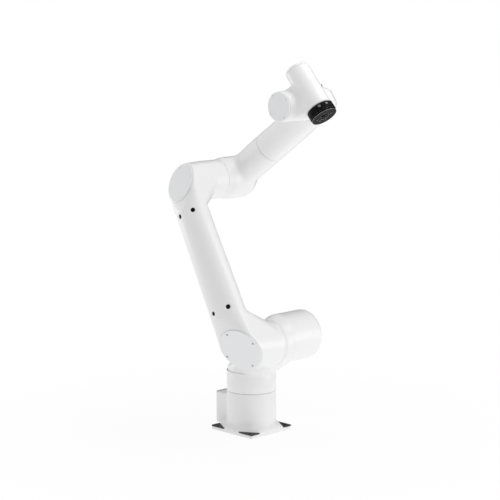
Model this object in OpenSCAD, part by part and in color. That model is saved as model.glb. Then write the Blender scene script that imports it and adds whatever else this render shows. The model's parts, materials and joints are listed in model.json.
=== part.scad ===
// Six-axis articulated robot arm, white cast links on a square floor plate.
// Millimetres. The origin is the centre of the plate's underside, +Z is up,
// +X is the way the arm works and +Y is the side the forearm stands on.

/* [Base] */
// side of the square floor plate
plate_w = 200; // [160:1:260]
// thickness of the floor plate
plate_t = 13; // [8:0.5:24]
// leg of a corner pad along X
pad_x = 64; // [40:1:80]
// leg of a corner pad along Y
pad_y = 40; // [30:1:60]
// thickness of a corner pad
pad_t = 4; // [2:0.5:8]
// floor bolts from the plate's edge along X
bolt_in_x = 20; // [12:1:30]
// floor bolts from the plate's edge along Y
bolt_in_y = 13; // [10:1:20]
// radius of a floor bolt's hole
bolt_r = 5.5; // [4.5:0.5:9]
// radius of the column
column_r = 87.5; // [70:0.5:110]
// height of the fixed column's top, where the arm turns
base_h = 145.5; // [110:0.5:180]
// height of the foot's flare above the plate
flare_h = 20; // [8:1:40]
// upright edge of the flare
flare_edge = 3; // [1:0.5:6]
// back of the connector box, behind the column's axis
box_x = 124; // [100:1:160]
// width of the connector box
box_w = 104; // [70:1:130]
// top of the connector box below the column's top
box_drop = 19.5; // [10:0.5:60]
// thickness of the connector panel
panel_t = 3; // [2:0.5:6]
// border of the box beside its panel
panel_edge = 3; // [2:0.5:20]
// rise of the panel above the box's top
panel_up = 2.5; // [0.5:0.5:6]
// radius of a round socket on the panel
socket_r = 11; // [6:0.5:16]
// length of a round socket
socket_l = 9; // [4:0.5:20]

/* [Turret] */
// height of the turret ring's top
ring_h = 211.5; // [180:0.5:240]
// depth of the groove at the ring's top
groove_d = 0.8; // [0.4:0.1:3]
// height of that groove
groove_h = 1; // [0.6:0.1:3]
// radius of the shoulder casting's foot
neck_r = 84; // [60:1:110]
// radius of the shoulder joint's collar
j2_r = 81; // [60:1:110]
// length of the flare from that collar to the housing
collar_l = 34; // [20:1:50]
// radius of the shoulder housing
house_r = 86; // [70:1:110]
// housing's centre above the shoulder axis
house_up = 9; // [0:1:20]
// rounding of the housing's edges
house_round = 14; // [6:1:30]
// shoulder axis ahead of the column's axis
j2_x = 152; // [100:1:220]
// height of the shoulder axis
j2_z = 345; // [280:1:420]
// side of the shoulder joint from the column's plane
j2_y = 60; // [40:1:100]
// far end of the shoulder housing
housing_y = 115; // [70:1:140]
// thickness of the housing's end cover
cover_t = 3; // [2:0.5:12]
// inset of a round cover from its housing
cover_in = 8; // [2:0.5:16]

/* [Upper arm] */
// distance between the shoulder and elbow axes
arm_l = 613; // [450:1:800]
// lean of the upper arm, backwards from upright
arm_lean = 27.6; // [0:0.1:60]
// side of the upper arm's centre line
arm_y = 206; // [180:1:260]
// width of the arm's oval at the shoulder
arm_w1 = 146; // [100:1:190]
// width of the arm's oval at the elbow
arm_w2 = 126; // [90:1:180]
// depth of the arm's oval
arm_d = 100; // [70:1:140]
// start of the oval from the shoulder axis
oval_low = 116; // [90:1:160]
// end of the oval from the elbow axis
oval_high = 104; // [90:1:160]
// lean of the shoulder cap
cap_lean = 28; // [0:1:45]
// radius of the shoulder barrel
sh_r = 80; // [60:1:110]
// radius of the elbow barrel
el_r = 68; // [50:1:100]
// flare of both barrels towards their caps
cap_flare = 3; // [1:0.5:8]
// elbow cap outside the arm's centre line
el_cap_out = 5; // [0:1:12]
// lean of the elbow cap
el_cap_lean = 24; // [0:1:45]
// thickness of the caps
cap_t = 5; // [2:0.5:10]
// inset of the caps from their barrels
cap_in = 3; // [1:0.5:10]
// radius of a cap screw's head
screw_r = 3.5; // [2.5:0.5:8]
// height of a cap screw's head
screw_h = 1.5; // [0.5:0.5:4]
// radius of a black plug
plug_r = 7.5; // [4:0.5:14]
// length of a black plug
plug_l = 20; // [10:1:40]
// depth of a black plug's head behind the arm's side
plug_in = 1.5; // [0:0.5:8]
// lower plugs from the shoulder axis
plug_low = 143; // [120:1:200]
// upper plugs from the elbow axis
plug_high = 115; // [90:1:200]
// turn of the front plugs round the oval
plug_front = 42.5; // [20:0.5:70]
// turn of the rear plugs round the oval
plug_rear = -15.5; // [-60:0.5:10]

/* [Forearm] */
// side of the elbow joint from the column's plane
j3_y = -40; // [-80:1:0]
// side of the forearm's axis
j4_y = 58; // [30:1:100]
// rise of the forearm above level
fore_rise = 35; // [0:0.1:60]
// forearm joint from the elbow axis
j4_s = 199; // [120:1:260]
// radius of the elbow joint's collar
goose_r = 67; // [50:1:90]
// length of that collar
goose_l = 14; // [6:1:30]
// radius of the elbow casting's ball and barrel
ball_r = 75; // [60:1:100]
// rounding of the barrel's edge
ball_round = 12; // [6:1:24]
// radius of the forearm tube
tube_r = 57; // [40:1:80]
// radius of the forearm tube at its wrist end
tube_end_r = 54; // [40:1:80]
// wrist axis from the elbow axis
fore_l = 485; // [350:1:650]
// radius of the wrist housing on the forearm
j5_r = 57; // [40:1:70]

/* [Wrist] */
// wrist joint from the column's plane
j5_y = 0; // [-10:1:20]
// radius of the wrist stub
stub_r = 51; // [36:1:66]
// end of the wrist stub from the column's plane
stub_y = -143; // [-150:1:-120]
// thickness of the wrist's side cap
side_cap_t = 6; // [3:0.5:12]
// slope of the hand axis below level
hand_dip = 50; // [0:0.1:90]
// hand axis ahead of the wrist axis
hand_off = 80; // [50:1:110]
// side of the hand axis
hand_y = -60; // [-80:1:-30]
// radius of the hand tube
hand_r = 42; // [30:1:56]
// rear end of the hand tube behind the wrist axis
hand_back = 94; // [70:1:130]
// front end of the hand tube ahead of the wrist axis
hand_front = 72; // [40:1:90]
// thickness of the hand's rear cap
top_cap_t = 10; // [4:0.5:20]
// start of the web behind the wrist axis
web_back = 36; // [20:1:60]
// web's wall outside the hand tube
web_out = 1.5; // [0.5:0.5:4]
// place of the hand's side plug ahead of the wrist axis
side_plug_s = 5; // [0:1:30]
// radius of that plug
side_plug_r = 5; // [3:0.5:8]
// length of that plug
side_plug_l = 8; // [4:0.5:14]
// height of that plug's head
side_plug_h = 2; // [1:0.5:5]

/* [Tool flange] */
// radius of the tool flange
flange_r = 46; // [36:0.5:60]
// length of the flange's ring
flange_l = 24; // [16:1:50]
// length of the flange's face plate
face_l = 8; // [6:0.5:16]
// radius of the face plate
face_r = 44.5; // [32:0.5:56]
// radius of the centring bore
spigot_r = 15.75; // [10:0.25:25]
// depth of the centring bore
spigot_d = 6; // [3:0.5:10]
// diameter of the tool bolts' circle
tool_pcd = 50; // [40:1:63]
// radius of a tool bolt's hole
tool_hole_r = 3.3; // [2:0.1:5]
// radius of the dowel hole
dowel_r = 3; // [2:0.1:5]
// radius of a side port
port_r = 5; // [3:0.5:8]
// length of a side port
port_l = 8; // [4:0.5:14]
// side ports behind the middle of the ring
port_back = 4; // [0:0.5:8]
// depth of a port's plug in the ring
port_in = 1; // [0.5:0.5:4]

/* [Seams] */
// width of the seam at a joint
seam = 1.8; // [1:0.1:4]
// running gap of a bearing hub
run_gap = 0.3; // [0.1:0.05:1]
// depth of the shadow line around a bearing hub
hub_in = 1.6; // [1:0.1:6]
// clear space around the swinging shoulder barrel
swing_gap = 6; // [3:0.5:12]
// play of a plug or port in its hole
play = 0.05; // [0.02:0.01:0.2]

/* [Hidden] */
// number of sides of the round shapes, and of a hull's own
$fn = 96;
hull_fn = 32;
// shares of the barrels' length, from their caps, that the bends take
sh_bend_share = 0.84;
el_bend_share = 0.6;
// shares of the neck's upper roller against the shoulder housing
neck_share = 0.7;
neck_len_share = 0.75;
// shares of a cap's radius where its screws sit
screw_share = 0.86;
side_screw_share = 0.87;
// share of a ball's radius at which its corner cap is cut
corner_share = 0.86;
// share of the stub's radius that the web takes
web_r_share = 0.96;
// turns of the caps on the outer corners of the elbow and the wrist
elbow_turn = 135;
wrist_turn = 45;
// step of the rounded outlines
turn_step = 7.5;
slice = 1;
bolt_x = plate_w - 2 * bolt_in_x;
bolt_y = plate_w - 2 * bolt_in_y;
box_h = base_h - box_drop;
oval_end = arm_l - oval_high;
hub_t = seam - run_gap;
// width of the oval at a place along the arm
function oval_w(s) = arm_w1 + (arm_w2 - arm_w1) * (s - oval_low) / (oval_end - oval_low);
// turns of the side ports, and of the side plug, about the hand axis
port_turns = [48, 13, -22];
side_plug_turn = -42;
// turn of the first screw on the wrist's side cap
side_screw_turn = 37;

white = [0.93, 0.93, 0.93];
grey = [0.78, 0.79, 0.80];
dark = [0.10, 0.10, 0.11];
black = [0.05, 0.05, 0.055];

// frames of the links, in the pose of the part
module at_arm() {
    translate([j2_x, 0, j2_z])
        rotate([0, -arm_lean, 0])
            children();
}

module at_elbow() {
    at_arm()
        translate([0, 0, arm_l])
            rotate([0, arm_lean + 90 - fore_rise, 0])
                children();
}

module at_wrist() {
    at_elbow()
        translate([0, 0, fore_l])
            children();
}

module at_hand() {
    at_wrist()
        rotate([0, fore_rise + hand_dip, 0])
            translate([-hand_off, hand_y, 0])
                children();
}

// a round bar along Y from y0 to y1
module bar(r, y0, y1) {
    translate([0, y0, 0])
        rotate([-90, 0, 0])
            cylinder(r = r, h = y1 - y0);
}

// the four places of a rectangle's corners
module corners(x, y) {
    for (sx = [-1, 1], sy = [-1, 1])
        translate([sx * x / 2, sy * y / 2, 0])
            children();
}

// one corner pad's outline, its right angle at the plate's corner
module pad_outline() {
    for (mx = [0, 1], my = [0, 1])
        mirror([mx, 0, 0])
            mirror([0, my, 0])
                polygon([[plate_w / 2, plate_w / 2], [plate_w / 2 - pad_x, plate_w / 2],
                    [plate_w / 2, plate_w / 2 - pad_y]]);
}

module foot_outline() {
    difference() {
        square(plate_w, center = true);
        pad_outline();
    }
}

module base_casting() {
    color(white)
        difference() {
            union() {
                translate([-plate_w / 2, -plate_w / 2, 0])
                    cube([plate_w, plate_w, plate_t]);
                cylinder(r = column_r, h = base_h);
                hull() {
                    translate([0, 0, plate_t])
                        linear_extrude(height = flare_edge)
                            foot_outline();
                    translate([0, 0, plate_t])
                        cylinder(r = column_r, h = flare_h, $fn = 2 * hull_fn);
                }
                translate([-box_x, -box_w / 2, plate_t])
                    cube([box_x, box_w, box_h - plate_t]);
            }
            corners(bolt_x, bolt_y)
                translate([0, 0, -plate_t])
                    cylinder(r = bolt_r, h = 3 * plate_t);
        }
}

module base_corner_pads() {
    color(dark)
        difference() {
            translate([0, 0, plate_t])
                linear_extrude(height = pad_t)
                    pad_outline();
            corners(bolt_x, bolt_y)
                cylinder(r = bolt_r, h = 3 * plate_t);
        }
}

module panel_places() {
    for (s = [-1, 1])
        translate([-box_x - panel_t, s * box_w / 4, box_h / 2])
            rotate([0, -90, 0])
                children();
}

module connector_panel() {
    color(dark)
        translate([-box_x - panel_t, panel_edge - box_w / 2, plate_t + panel_edge])
            cube([panel_t, box_w - 2 * panel_edge, box_h + panel_up - plate_t - panel_edge]);
}

module connector_sockets() {
    color(black)
        panel_places()
            difference() {
                cylinder(r = socket_r, h = socket_l);
                translate([0, 0, panel_t])
                    cylinder(r = socket_r - panel_t, h = socket_l);
            }
}

module base_bearing() {
    color(dark)
        translate([0, 0, base_h])
            cylinder(r = column_r - hub_in, h = hub_t);
}

module turret_ring() {
    color(white)
        translate([0, 0, base_h + seam]) {
            cylinder(r = column_r, h = ring_h - base_h - seam - groove_h);
            cylinder(r = column_r - groove_d, h = ring_h - base_h - seam);
        }
}

// half the outline of a drum: it flares from r0 to r over a length, and its far edge is rounded
function drum_outline(r0, r, flare, l, edge) = concat([[0, 0], [r0, 0], [r, flare]],
    [for (a = [0:turn_step:90]) [r - edge + edge * cos(a), l - edge + edge * sin(a)]],
    edge < r ? [[0, l]] : []);

// half the outline of a barrel, its near edge rounded by e0 and its far edge by e1
function barrel_outline(r, l, e0, e1) = concat([[0, 0]],
    [for (a = [0:turn_step:90]) [r - e0 + e0 * sin(a), e0 - e0 * cos(a)]],
    [for (a = [0:turn_step:90]) [r - e1 + e1 * cos(a), l - e1 + e1 * sin(a)]],
    e1 < r ? [[0, l]] : []);

// a round bar along Y with rounded edges
module barrel(r, y0, y1, e0, e1) {
    translate([0, y0, 0])
        rotate([-90, 0, 0])
            rotate_extrude()
                polygon(barrel_outline(r, y1 - y0, e0, e1));
}

// a flared round bar along Y with a rounded far edge
module drum(r0, r, flare, y0, y1, edge) {
    translate([0, y0, 0])
        rotate([-90, 0, 0])
            rotate_extrude()
                polygon(drum_outline(r0, r, flare, y1 - y0, edge));
}

module shoulder_casting() {
    color(white)
        difference() {
            union() {
                translate([0, 0, ring_h])
                    cylinder(r = neck_r, h = flare_h);
                hull() {
                    translate([0, 0, ring_h])
                        cylinder(r = neck_r - slice, h = flare_h, $fn = 2 * hull_fn);
                    translate([j2_x, 0, j2_z])
                        bar(j2_r * neck_share, -j2_y * neck_len_share, housing_y * neck_len_share, $fn = hull_fn);
                }
                hull() {
                    translate([j2_x, 0, j2_z])
                        bar(j2_r, -j2_y, slice - j2_y, $fn = 2 * hull_fn);
                    translate([j2_x, 0, j2_z + house_up])
                        bar(house_r - slice, collar_l - j2_y, collar_l + slice - j2_y, $fn = 2 * hull_fn);
                }
                translate([j2_x, 0, j2_z + house_up])
                    drum(house_r - slice / 2, house_r, slice, collar_l - j2_y, housing_y, house_round);
            }
            translate([j2_x, 0, j2_z])
                bar(sh_r + swing_gap, -arm_y, -j2_y);
        }
}

module shoulder_end_cover() {
    color(white)
        translate([j2_x, 0, j2_z + house_up])
            bar(house_r - house_round - cover_in, housing_y, housing_y + cover_t);
}

module shoulder_bearing() {
    color(dark)
        translate([j2_x, 0, j2_z])
            bar(sh_r - hub_in, -j2_y - hub_t, -j2_y);
}

// the upper arm's oval, a slice across the arm
module oval(w, d) {
    linear_extrude(height = slice)
        scale([1, d / w])
            circle(d = w, $fn = 2 * hull_fn);
}

// a frame on a cap's plane, +Z out of the arm
module cap_plane(lean, out) {
    translate([0, -arm_y - out, 0])
        rotate([lean, 0, 0])
            rotate([90, 0, 0])
                children();
}

// a pipe bend: barrel towards the joint, leaning cap, and the arm's oval
module bend(r, lean, out, y_in, bend_share, z_oval, w) {
    y_mid = -arm_y + (arm_y + y_in) * bend_share;
    hull() {
        cap_plane(lean, out)
            translate([0, 0, -slice])
                cylinder(r = r + cap_flare, h = slice, $fn = 2 * hull_fn);
        bar(r + slice / 2, y_mid, y_mid + slice, $fn = 2 * hull_fn);
        translate([0, -arm_y, z_oval])
            oval(w, arm_d);
    }
    bar(r, y_mid, y_in);
}

// the four plugs, square to the oval's side, +Z out of the arm
module plug_places() {
    for (s = [plug_low, arm_l - plug_high], a = [plug_front, plug_rear])
        at_arm()
            translate([oval_w(s) / 2 * sin(a), -arm_y - arm_d / 2 * cos(a), s])
                rotate([0, 0, atan2(sin(a) * arm_d, cos(a) * oval_w(s))])
                    rotate([90, 0, 0])
                        children();
}

module upper_arm_casting() {
    color(white)
        difference() {
            at_arm()
                union() {
                    bend(sh_r, cap_lean, 0, -j2_y - seam, sh_bend_share, oval_low, arm_w1);
                    hull() {
                        translate([0, -arm_y, oval_low])
                            oval(arm_w1, arm_d);
                        translate([0, -arm_y, oval_end])
                            oval(arm_w2, arm_d);
                    }
                    translate([0, 0, arm_l])
                        bend(el_r, -el_cap_lean, el_cap_out, j3_y - seam, el_bend_share, -oval_high, arm_w2);
                }
            plug_places()
                translate([0, 0, -plug_l - plug_in])
                    cylinder(r = plug_r, h = 2 * plug_l);
        }
}

// four screw heads on a circle, on a cap's face
module screw_ring(r, turn, z) {
    for (a = [0:90:270])
        rotate([0, 0, a + turn])
            translate([r, 0, z])
                cylinder(r = screw_r, h = screw_h);
}

module shoulder_cap() {
    color(grey)
        at_arm()
            cap_plane(cap_lean, 0)
                cylinder(r = sh_r + cap_flare - cap_in, h = cap_t);
}

module shoulder_cap_screws() {
    color(dark)
        at_arm()
            cap_plane(cap_lean, 0)
                screw_ring((sh_r + cap_flare - cap_in) * screw_share, 0, cap_t);
}

module elbow_cap() {
    color(grey)
        at_arm()
            translate([0, 0, arm_l])
                cap_plane(-el_cap_lean, el_cap_out)
                    cylinder(r = el_r + cap_flare - cap_in, h = cap_t);
}

module elbow_cap_screws() {
    color(grey)
        at_arm()
            translate([0, 0, arm_l])
                cap_plane(-el_cap_lean, el_cap_out)
                    screw_ring((el_r + cap_flare - cap_in) * screw_share, 0, cap_t);
}

module arm_plugs() {
    color(black)
        plug_places()
            translate([0, 0, -plug_l - plug_in])
                cylinder(r = plug_r - play, h = plug_l);
}

module elbow_bearing() {
    color(dark)
        at_elbow()
            bar(el_r - hub_in, j3_y - seam, j3_y - run_gap);
}

// the flat on a bend's outer corner, +Z out of the casting
module corner_plane(turn) {
    translate([0, j4_y, 0])
        rotate([-turn, 0, 0])
            children();
}

module corner_cut(r, turn) {
    corner_plane(turn)
        translate([-r, -r, r * corner_share])
            cube([2 * r, 2 * r, r]);
}

module corner_cap(r, turn) {
    corner_plane(turn)
        translate([0, 0, r * corner_share])
            cylinder(r = r * sqrt(1 - corner_share * corner_share) - cap_in / 2, h = cap_t);
}

module elbow_casting() {
    color(white)
        at_elbow()
            difference() {
                union() {
                    bar(goose_r, j3_y, j4_y);
                    barrel(ball_r, j3_y + goose_l, j4_y + ball_r, ball_round, ball_r);
                    translate([0, j4_y, 0])
                        cylinder(r = tube_r, h = j4_s);
                }
                corner_cut(ball_r, elbow_turn);
            }
}

module elbow_back_cap() {
    color(grey)
        at_elbow()
            corner_cap(ball_r, elbow_turn);
}

module forearm_bearing() {
    color(dark)
        at_elbow()
            translate([0, j4_y, j4_s])
                cylinder(r = tube_r - hub_in, h = hub_t);
}

module forearm_casting() {
    color(white)
        difference() {
            union() {
                at_elbow()
                    translate([0, j4_y, j4_s + seam])
                        cylinder(r1 = tube_r, r2 = tube_end_r, h = fore_l - j4_s - seam);
                at_wrist()
                    translate([0, j4_y, 0])
                        sphere(r = j5_r);
                at_wrist()
                    bar(j5_r, j5_y, j4_y);
            }
            at_wrist()
                corner_cut(j5_r, wrist_turn);
        }
}

module forearm_end_cap() {
    color(grey)
        at_wrist()
            corner_cap(j5_r, wrist_turn);
}

module wrist_bearing() {
    color(dark)
        at_wrist()
            bar(stub_r - hub_in, j5_y - hub_t, j5_y);
}

// the place of the hand's side plug, +Z out of the hand
module side_plug_place() {
    at_hand()
        translate([0, 0, side_plug_s])
            rotate([0, 0, side_plug_turn])
                rotate([0, -90, 0])
                    translate([0, 0, hand_r + web_out - side_plug_l])
                        children();
}

module wrist_casting() {
    color(white)
        difference() {
            union() {
                at_wrist()
                    bar(stub_r, stub_y + side_cap_t, j5_y - seam);
                at_hand()
                    translate([0, 0, top_cap_t - hand_back])
                        cylinder(r = hand_r, h = hand_back + hand_front - top_cap_t);
                hull() {
                    at_hand()
                        translate([0, 0, -web_back])
                            cylinder(r = hand_r - web_out, h = slice, $fn = 2 * hull_fn);
                    at_hand()
                        cylinder(r = hand_r + web_out, h = hand_front - web_out, $fn = 2 * hull_fn);
                    at_wrist()
                        bar(stub_r * web_r_share, hand_y - hand_r, hand_y + hand_r, $fn = 2 * hull_fn);
                }
            }
            side_plug_place()
                cylinder(r = side_plug_r, h = 2 * side_plug_l);
        }
}

module wrist_cap_screws() {
    color(grey)
        at_wrist()
            rotate([0, fore_rise, 0])
                translate([0, stub_y, 0])
                    rotate([90, 0, 0])
                        screw_ring(stub_r * side_screw_share, side_screw_turn, 0);
}

module wrist_side_plug() {
    color(dark)
        side_plug_place()
            cylinder(r = side_plug_r - play, h = side_plug_l + side_plug_h);
}

module wrist_side_cap() {
    color(grey)
        at_wrist()
            bar(stub_r - cap_in / 2, stub_y, stub_y + side_cap_t);
}

module wrist_top_cap() {
    color(white)
        at_hand()
            translate([0, 0, -hand_back])
                cylinder(r1 = hand_r - top_cap_t / 2, r2 = hand_r, h = top_cap_t);
}

module flange_bearing() {
    color(dark)
        at_hand()
            translate([0, 0, hand_front])
                cylinder(r = hand_r - hub_in, h = hub_t);
}

module port_places() {
    for (a = port_turns)
        at_hand()
            translate([0, 0, hand_front + seam + flange_l / 2 - port_back])
                rotate([0, 0, a])
                    rotate([0, -90, 0])
                        translate([0, 0, flange_r - port_l - port_in])
                            children();
}

module flange_ring() {
    color(black)
        difference() {
            at_hand()
                translate([0, 0, hand_front + seam])
                    cylinder(r = flange_r, h = flange_l);
            port_places()
                cylinder(r = port_r, h = 2 * port_l);
        }
}

module flange_face() {
    color(black)
        at_hand()
            translate([0, 0, hand_front + seam + flange_l])
                difference() {
                    cylinder(r = face_r, h = face_l);
                    translate([0, 0, face_l - spigot_d])
                        cylinder(r = spigot_r, h = 2 * spigot_d);
                    for (a = [45:90:315])
                        rotate([0, 0, a])
                            translate([tool_pcd / 2, 0, -face_l])
                                cylinder(r = tool_hole_r, h = 3 * face_l);
                    translate([tool_pcd / 2, 0, -face_l])
                        cylinder(r = dowel_r, h = 3 * face_l);
                }
}

module flange_ports() {
    color(grey)
        port_places()
            cylinder(r = port_r - play, h = port_l);
}

base_casting();
base_corner_pads();
connector_panel();
connector_sockets();
base_bearing();
turret_ring();
shoulder_casting();
shoulder_end_cover();
shoulder_bearing();
upper_arm_casting();
shoulder_cap();
shoulder_cap_screws();
elbow_cap();
elbow_cap_screws();
arm_plugs();
elbow_bearing();
elbow_casting();
elbow_back_cap();
forearm_bearing();
forearm_casting();
forearm_end_cap();
wrist_bearing();
wrist_casting();
wrist_side_cap();
wrist_cap_screws();
wrist_top_cap();
wrist_side_plug();
flange_bearing();
flange_ring();
flange_face();
flange_ports();
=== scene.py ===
# Six-axis robot arm: looks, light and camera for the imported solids. Sizes are in metres.
import json
import math

import bpy
from mathutils import Matrix, Vector

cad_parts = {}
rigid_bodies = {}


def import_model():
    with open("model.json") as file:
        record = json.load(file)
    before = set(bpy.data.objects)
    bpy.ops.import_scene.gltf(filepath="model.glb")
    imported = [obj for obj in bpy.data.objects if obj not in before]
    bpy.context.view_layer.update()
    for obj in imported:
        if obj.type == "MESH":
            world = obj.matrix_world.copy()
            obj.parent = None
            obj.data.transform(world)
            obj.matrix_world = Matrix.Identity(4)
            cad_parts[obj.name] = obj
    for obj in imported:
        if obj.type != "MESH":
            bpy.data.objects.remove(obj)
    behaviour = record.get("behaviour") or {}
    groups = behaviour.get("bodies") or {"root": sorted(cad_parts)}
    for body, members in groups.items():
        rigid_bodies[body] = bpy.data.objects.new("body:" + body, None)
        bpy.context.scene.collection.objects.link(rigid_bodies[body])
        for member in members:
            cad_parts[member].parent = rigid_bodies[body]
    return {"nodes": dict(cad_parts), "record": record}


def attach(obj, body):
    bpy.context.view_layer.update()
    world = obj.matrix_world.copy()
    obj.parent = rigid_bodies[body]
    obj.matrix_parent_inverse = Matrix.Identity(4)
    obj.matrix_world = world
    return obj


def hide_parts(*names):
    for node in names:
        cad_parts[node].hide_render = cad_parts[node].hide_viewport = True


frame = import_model()
bpy.ops.object.select_all(action="DESELECT")
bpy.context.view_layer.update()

BEHAVIOUR = frame["record"]["behaviour"]
BODY_OF = {node: body for body, nodes in BEHAVIOUR["bodies"].items() for node in nodes}
SLOT_OF = {row["node"]: row["material_slot"] for row in frame["record"]["subparts"]}
JOINT = {
    joint["name"]: (Vector(joint["pos_m"]), Vector(joint["axis"]).normalized())
    for joint in BEHAVIOUR["joints"]
}
UPRIGHT = Vector((0, 0, 1))
MM_PER_M = 1000


# ---- finishes

ROUGHNESS_SPREAD = 0.04  # how far the grain moves the roughness, each way
GRAIN_HEIGHT = 0.0004
GRAIN_DETAIL = 2.0


def srgb(code):
    """A linear colour from a six-figure hex code."""
    parts = [int(code[i : i + 2], 16) / 255 for i in (0, 2, 4)]
    return [p / 12.92 if p <= 0.04045 else ((p + 0.055) / 1.055) ** 2.4 for p in parts] + [1.0]


def add(tree, kind, links=(), **values):
    """One shader node: its settings, its inputs' values, and links of (input, from node, output)."""
    made = tree.nodes.new(kind)
    for name, value in values.items():
        if hasattr(made, name):
            setattr(made, name, value)
        else:
            made.inputs[name.replace("_", " ")].default_value = value
    for socket, source, output in links:
        tree.links.new(source.outputs[output], made.inputs[socket])
    return made


def empty_material(name):
    """A material whose node tree is still bare."""
    material = bpy.data.materials.new(name)
    material.use_nodes = True
    material.node_tree.nodes.clear()
    return material


def finish_of(name, colour, roughness, grain_mm, grain_depth, metallic=0.0, gloss=0.5):
    """A plain finish: one colour, and a fine grain of real size that breaks the highlights."""
    material = empty_material(name)
    tree = material.node_tree
    place = add(tree, "ShaderNodeTexCoord")
    noise = add(
        tree,
        "ShaderNodeTexNoise",
        [("Vector", place, "Object")],
        Scale=MM_PER_M / grain_mm,
        Detail=GRAIN_DETAIL,
    )
    spread = add(
        tree,
        "ShaderNodeMapRange",
        [("Value", noise, "Fac")],
        To_Min=roughness - ROUGHNESS_SPREAD,
        To_Max=roughness + ROUGHNESS_SPREAD,
    )
    bump = add(
        tree,
        "ShaderNodeBump",
        [("Height", noise, "Fac")],
        Strength=grain_depth,
        Distance=GRAIN_HEIGHT,
    )
    shader = add(
        tree,
        "ShaderNodeBsdfPrincipled",
        [("Roughness", spread, "Result"), ("Normal", bump, "Normal")],
        Base_Color=srgb(colour),
        Metallic=metallic,
        Specular_IOR_Level=gloss,
    )
    add(tree, "ShaderNodeOutputMaterial", [("Surface", shader, "BSDF")])
    return material


# material, colour, roughness, size of the grain in mm, depth of the grain as a share of GRAIN_HEIGHT
FINISH = {
    # powder coat on cast aluminium: satin, with the shallow orange peel that baking leaves
    "white_paint": finish_of("white_powder_coat", "F1F1F1", 0.28, 1.6, 0.03),
    # the same coat on the base, duller from wiping down: its flat tops mirror little
    "base_paint": finish_of("worn_powder_coat", "F1F1F1", 0.4, 1.6, 0.03, gloss=0.12),
    # moulded ABS covers: a shade cooler than the castings, with a finer and duller grain
    "cap_paint": finish_of("white_moulded_abs", "EEEFF0", 0.36, 0.9, 0.03),
    # nitrile rubber pads, base seal and wrist plug: matt and nearly black
    "dark_seal": finish_of("black_nitrile_rubber", "242426", 0.62, 0.6, 0.05),
    # pale grey seal on the bearing hubs: matt, so that what shows in a seam is a soft line
    "joint_seal": finish_of("grey_joint_seal", "E2E2E4", 0.7, 0.6, 0.05),
    # hard anodised aluminium, on the flange, sockets and arm plugs: deep black with a satin sheen
    "black_anodised": finish_of("black_hard_anodised", "0B0B0C", 0.4, 0.5, 0.02, gloss=0.06),
    # zinc plated steel screws: bright grey
    "screw_steel": finish_of("zinc_plated_steel", "A6A8AB", 0.35, 0.4, 0.02, metallic=0.8),
    # moulded ABS in light grey: the plain panel behind the sockets
    "grey_panel": finish_of("grey_moulded_abs", "CDCED0", 0.55, 0.9, 0.03, gloss=0.1),
    # dyed nylon plugs in the flange's side: dull dark grey
    "port_plug": finish_of("grey_nylon_plug", "6C6D6F", 0.45, 0.6, 0.03),
    # painted highlight: bright metal on the flange's rounded edges draws the thin bright line along
    # them
    "painted_highlight_edge": finish_of("painted_highlight_edge_metal", "B4B5B7", 0.32, 0.4, 0.02, metallic=0.9),
}


# ---- shaping

# where two bodies meet, and two fixed seams of the turret: middle and direction
SEAMS = list(JOINT.values()) + [
    (Vector((0, 0, 0.2115)), UPRIGHT),  # between the ring and the shoulder casting
    (Vector((0.152, 0.115, 0.354)), Vector((0, 1, 0))),  # under the shoulder's end cover
]
SEAM_REACH = 0.105  # how far round its middle a seam holds its edges
SEAM_BAND = 0.012  # how far to each side of the seam
SEAM_LEAST = 0.06  # the share of softening left at the seam itself
SMOOTH_STEP = 0.5  # how far one round of smoothing moves a point
MERGE_WITHIN = 0.00001
WELD_WITHIN = 0.00002
FLAT_ANGLE = math.radians(0.4)  # facets that differ by less than this are one face
EDGE_ANGLE = math.radians(35)  # edges sharper than this are rounded


def only(piece):
    """Selects one piece and makes it the active one."""
    bpy.ops.object.select_all(action="DESELECT")
    piece.select_set(True)
    bpy.context.view_layer.objects.active = piece


def change(piece, kind, **values):
    """Adds one modifier to a piece and applies it."""
    only(piece)
    bpy.ops.object.modifier_add(type=kind)
    modifier = piece.modifiers[-1]
    for name, value in values.items():
        setattr(modifier, name, value)
    bpy.ops.object.modifier_apply(modifier=modifier.name)


def dress(piece, finish):
    """Gives a piece one finish all over."""
    piece.data.materials.clear()
    piece.data.materials.append(FINISH[finish])


def off_seam(place):
    """How freely a point may be softened: little at a seam, whose edges stay sharp, fully elsewhere."""
    share = 1.0
    for middle, along in SEAMS:
        off = place - middle
        if off.length < SEAM_REACH:
            share = min(share, max(SEAM_LEAST, abs(off.dot(along)) / SEAM_BAND))
    return share


def soften(piece, rounds, share_at):
    """Smooths a piece, each point by the share that share_at gives for its place."""
    group = piece.vertex_groups.new(name="soft")
    for point in piece.data.vertices:
        share = share_at(point.co)
        if share > 0:
            group.add([point.index], share, "REPLACE")
    change(piece, "SMOOTH", factor=SMOOTH_STEP, iterations=rounds, vertex_group=group.name)
    piece.vertex_groups.remove(piece.vertex_groups["soft"])


def soft_cast(node, fineness, rounds):
    """A copy of a casting with its corners and joins softened, as a mould leaves them."""
    only(frame["nodes"][node])
    bpy.ops.object.duplicate()
    piece = bpy.context.view_layer.objects.active
    bpy.ops.object.parent_clear(type="CLEAR_KEEP_TRANSFORM")
    for key in [k for k in piece.keys() if k.startswith("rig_")]:
        del piece[key]
    piece.name = node + "_cast"
    bpy.ops.object.mode_set(mode="EDIT")
    bpy.ops.mesh.select_all(action="SELECT")
    bpy.ops.mesh.remove_doubles(threshold=MERGE_WITHIN)
    bpy.ops.object.mode_set(mode="OBJECT")
    change(piece, "REMESH", mode="VOXEL", voxel_size=fineness)
    soften(piece, rounds, off_seam)
    bpy.ops.object.shade_smooth()
    dress(piece, SLOT_OF[node])
    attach(piece, BODY_OF[node])
    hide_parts(node)
    return piece


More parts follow.
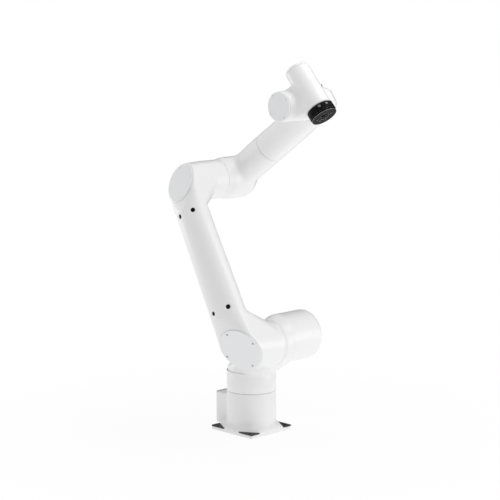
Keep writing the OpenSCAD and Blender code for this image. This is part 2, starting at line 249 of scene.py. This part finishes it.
def melt(piece, middle, spread, rounds):
    """Softens a casting further round one place: fully in the spread's inner half, then fading out."""

    def share_at(place):
        near = 1 - (place - Vector(middle)).length / spread
        return min(1.0, 2 * near) * off_seam(place)

    soften(piece, rounds, share_at)


def crisp(node, width=0.0012, steps=3, finish=None, rim=None):
    """A turned or pressed piece: its own solid with a small round on each edge."""
    piece = frame["nodes"][node]
    weld = piece.modifiers.new("weld", "WELD")
    weld.merge_threshold = WELD_WITHIN
    flat = piece.modifiers.new("flat", "DECIMATE")
    flat.decimate_type = "DISSOLVE"
    flat.angle_limit = FLAT_ANGLE
    edge = piece.modifiers.new("edge", "BEVEL")
    edge.width = width
    edge.segments = steps
    edge.limit_method = "ANGLE"
    edge.angle_limit = EDGE_ANGLE
    edge.harden_normals = True
    dress(piece, finish or SLOT_OF[node])
    # a second finish on the rounds: bright metal there paints a highlight line along the edges
    if rim:
        piece.data.materials.append(FINISH[rim])
        edge.material = 1


# ---- castings

# node, fineness of its copy, rounds of softening
CASTINGS = (
    ("base_casting", 0.003, 9),
    ("shoulder_casting", 0.0024, 14),
    ("upper_arm_casting", 0.0026, 12),
    ("elbow_casting", 0.003, 9),
    ("forearm_casting", 0.003, 9),
    ("wrist_casting", 0.0025, 9),
)
# places with a longer run-out: node, middle, spread, rounds
RUN_OUTS = (
    ("upper_arm_casting", (0.1, -0.11, 0.43), 0.11, 50),  # the beam into the lower bend
    ("upper_arm_casting", (0.158, -0.18, 0.465), 0.09, 70),  # over the lower bend
    ("elbow_casting", (-0.132, -0.01, 0.888), 0.13, 160),  # the collar into the barrel
    ("elbow_casting", (-0.125, 0.058, 0.963), 0.09, 200),  # the barrel into the forearm's tube
)
casting = {node: soft_cast(node, fineness, rounds) for node, fineness, rounds in CASTINGS}
for node, middle, spread, rounds in RUN_OUTS:
    melt(casting[node], middle, spread, rounds)
dress(casting["base_casting"], "base_paint")


# ---- covers, flange and rear panel

COVERS = (
    "shoulder_cap",
    "elbow_cap",
    "wrist_side_cap",
    "wrist_top_cap",
    "elbow_back_cap",
    "forearm_end_cap",
)
for node in COVERS:  # well rounded rims
    crisp(node, width=0.0032, steps=4)
for node in ("flange_ring", "flange_face"):  # rounded edges in bright metal: a painted highlight
    crisp(node, width=0.0014, steps=2, rim="painted_highlight_edge")
crisp("flange_ports", width=0.0008, steps=2, finish="port_plug")
crisp("connector_panel", finish="grey_panel")


# ---- lips in the seams

LIP_SIDES = 144
LIP_WALL = 0.0015
LIP_EDGE = 0.0002
LIP_WIDTH = 0.006
LIP_SMOOTH = math.radians(40)


def seam_lip(name, middle, along, radius, width, body):
    """A thin round lip that lies in a seam, just under the surface."""
    bpy.ops.object.select_all(action="DESELECT")
    bpy.ops.mesh.primitive_cylinder_add(
        vertices=LIP_SIDES,
        radius=radius,
        depth=width,
        end_fill_type="NOTHING",
        location=middle,
        rotation=along.to_track_quat("Z", "Y").to_euler(),
    )
    piece = bpy.context.view_layer.objects.active
    piece.name = name
    bpy.ops.object.transform_apply(location=True, rotation=True, scale=True)
    change(piece, "SOLIDIFY", thickness=LIP_WALL, offset=-1.0)
    change(piece, "BEVEL", width=LIP_EDGE, segments=2, limit_method="ANGLE")
    bpy.ops.object.shade_smooth_by_angle(angle=LIP_SMOOTH)
    dress(piece, "white_paint")
    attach(piece, body)


# each lip is let into its own body and ends a hair short of the next body
# joint, lip, radius, shift along the joint's axis, body
LIPS = (
    ("turret_turn", "base_lip", 0.0872, -0.0022, "base"),
    ("shoulder_swing", "shoulder_lip", 0.0808, 0.0018, "turret"),
    ("shoulder_swing", "arm_lip", 0.0808, -0.0049, "upper_arm"),
    ("elbow_bend", "elbow_lip", 0.0667, -0.0014, "elbow"),
    ("forearm_roll", "forearm_lip", 0.0567, -0.0014, "elbow"),
)
for joint, lip, radius, shift, body in LIPS:
    middle, along = JOINT[joint]
    seam_lip(lip, middle + along * shift, along, radius, LIP_WIDTH, body)
# a trim band behind the groove between the turret's ring and the shoulder casting
seam_lip("turret_band", (0, 0, 0.2126), UPRIGHT, 0.0874, 0.0125, "turret")


# ---- other turned and pressed pieces

for node, piece in frame["nodes"].items():
    if not node.endswith("_casting") and not piece.modifiers:
        crisp(node)


# ---- room: even light, white wherever it is seen or mirrored

WHITE, BLACK = srgb("FFFFFF"), srgb("000000")
ROOM_LIGHT = 0.49

world = bpy.data.worlds.new("room")
bpy.context.scene.world = world
world.use_nodes = True
tree = world.node_tree
tree.nodes.clear()
ray = add(tree, "ShaderNodeLightPath")
seen = add(
    tree,
    "ShaderNodeMath",
    [(0, ray, "Is Camera Ray"), (1, ray, "Is Glossy Ray")],
    operation="MAXIMUM",
)
seen_through = add(
    tree,
    "ShaderNodeMath",
    [(0, seen, "Value"), (1, ray, "Is Transmission Ray")],
    operation="MAXIMUM",
)
even = add(tree, "ShaderNodeBackground", Color=WHITE, Strength=ROOM_LIGHT)
white = add(tree, "ShaderNodeBackground", Color=WHITE, Strength=1.0)
blend = add(
    tree,
    "ShaderNodeMixShader",
    [("Fac", seen_through, "Value"), (1, even, "Background"), (2, white, "Background")],
)
add(tree, "ShaderNodeOutputWorld", [("Surface", blend, "Shader")])


# ---- lamps: wide and soft, at the right, behind at the left, and overhead

CAMERA_TURN, CAMERA_RISE = math.radians(45.3), math.radians(9.0)
towards = Vector(
    (
        math.cos(CAMERA_RISE) * math.cos(CAMERA_TURN),
        -math.cos(CAMERA_RISE) * math.sin(CAMERA_TURN),
        math.sin(CAMERA_RISE),
    )
)  # from the arm to the camera
right = Vector((math.sin(CAMERA_TURN), math.cos(CAMERA_TURN), 0))
up = towards.cross(right)
MIDDLE = Vector((0.1, -0.05, 0.6))
LAMP_SIZE = 1.8

# name, place, watts
LAMPS = (
    ("right_low", MIDDLE + right * 2.8 + towards * 0.7 - UPRIGHT * 0.1, 18),
    ("right_high", MIDDLE + right * 1.6 + towards * 0.8 + UPRIGHT * 2.1, 18),
    ("left_rear", MIDDLE - right * 2.4 - towards * 1.3 + UPRIGHT * 0.1, 12),
    ("overhead", MIDDLE + UPRIGHT * 2.8, 15),
)
for name, place, power in LAMPS:
    bpy.ops.object.light_add(type="AREA", location=place)
    lamp = bpy.context.view_layer.objects.active
    lamp.name = name
    lamp.data.shape = "DISK"
    lamp.data.size = LAMP_SIZE
    lamp.data.energy = power
    lamp.rotation_euler = (MIDDLE - place).to_track_quat("-Z", "Y").to_euler()


# ---- a black card behind the arm, seen only in its gloss: a thin dark line along white edges

CARD_LEFT = 0.45  # how far the card's face turns to the camera's left
CARD_AWAY, CARD_UP = 2.2, 0.55
CARD_SIZE = (4.6, 2.4, 1)

facing = Vector((towards.x, towards.y, 0)).normalized() - right * CARD_LEFT
bpy.ops.mesh.primitive_plane_add(
    size=1,
    location=MIDDLE - facing.normalized() * CARD_AWAY + UPRIGHT * CARD_UP,
    rotation=facing.to_track_quat("Z", "Y").to_euler(),
)
card = bpy.context.view_layer.objects.active
card.name = "black_card"
card.scale = CARD_SIZE
card.visible_camera = card.visible_diffuse = False
card.visible_transmission = card.visible_shadow = False
card_felt = empty_material("black_felt")
felt = add(card_felt.node_tree, "ShaderNodeBsdfDiffuse", Color=BLACK)
add(card_felt.node_tree, "ShaderNodeOutputMaterial", [("Surface", felt, "BSDF")])
card.data.materials.append(card_felt)


# ---- a plain white floor that lights the arm from below and keeps its shadow

FLOOR_SIDE, FLOOR_DROP = 30, 0.0005
FLOOR_GLOW = 1.0
SHADOW_NEAR, SHADOW_FAR = 0.3, 1.3  # the shadow fades out between these distances
PLAIN_NEAR, PLAIN_FAR = 0.92, 1.0  # the share of plain white that the camera sees there

bpy.ops.mesh.primitive_plane_add(size=FLOOR_SIDE, location=(0, 0, -FLOOR_DROP))
floor = bpy.context.view_layer.objects.active
floor.name = "floor"
floor_paint = empty_material("floor_paint")
tree = floor_paint.node_tree
ray = add(tree, "ShaderNodeLightPath")
place = add(tree, "ShaderNodeTexCoord")
away = add(tree, "ShaderNodeVectorMath", [(0, place, "Object")], operation="LENGTH")
fade = add(
    tree,
    "ShaderNodeMapRange",
    [("Value", away, "Value")],
    interpolation_type="SMOOTHSTEP",
    From_Min=SHADOW_NEAR,
    From_Max=SHADOW_FAR,
    To_Min=PLAIN_NEAR,
    To_Max=PLAIN_FAR,
)
matt = add(tree, "ShaderNodeBsdfDiffuse", Color=WHITE)
shown = add(tree, "ShaderNodeEmission", Color=WHITE, Strength=1.0)
glow = add(tree, "ShaderNodeEmission", Color=WHITE, Strength=FLOOR_GLOW)
face_on = add(
    tree,
    "ShaderNodeMixShader",
    [("Fac", fade, "Result"), (1, matt, "BSDF"), (2, shown, "Emission")],
)
blend = add(
    tree,
    "ShaderNodeMixShader",
    [("Fac", ray, "Is Camera Ray"), (1, glow, "Emission"), (2, face_on, "Shader")],
)
add(tree, "ShaderNodeOutputMaterial", [("Surface", blend, "Shader")])
floor.data.materials.append(floor_paint)


# ---- camera: at the arm's front right, a long lens a little above the middle

CAMERA_AWAY = 6.0
PX_PER_MM = 0.286  # at the arm, in a picture of PICTURE_PX
PICTURE_PX = 500
SENSOR_MM = 36
CLIP_END = 100

aim = right * -0.005 + UPRIGHT * 0.645
eye = aim + towards * CAMERA_AWAY
camera_data = bpy.data.cameras.new("camera")
camera_data.sensor_width = SENSOR_MM
camera_data.lens = PX_PER_MM * CAMERA_AWAY * MM_PER_M / PICTURE_PX * SENSOR_MM
camera_data.clip_end = CLIP_END
camera = bpy.data.objects.new("camera", camera_data)
bpy.context.scene.collection.objects.link(camera)
camera.matrix_world = Matrix.Translation(eye) @ Matrix((right, up, towards)).transposed().to_4x4()
bpy.context.scene.camera = camera
bpy.context.scene.view_settings.view_transform = "Standard"
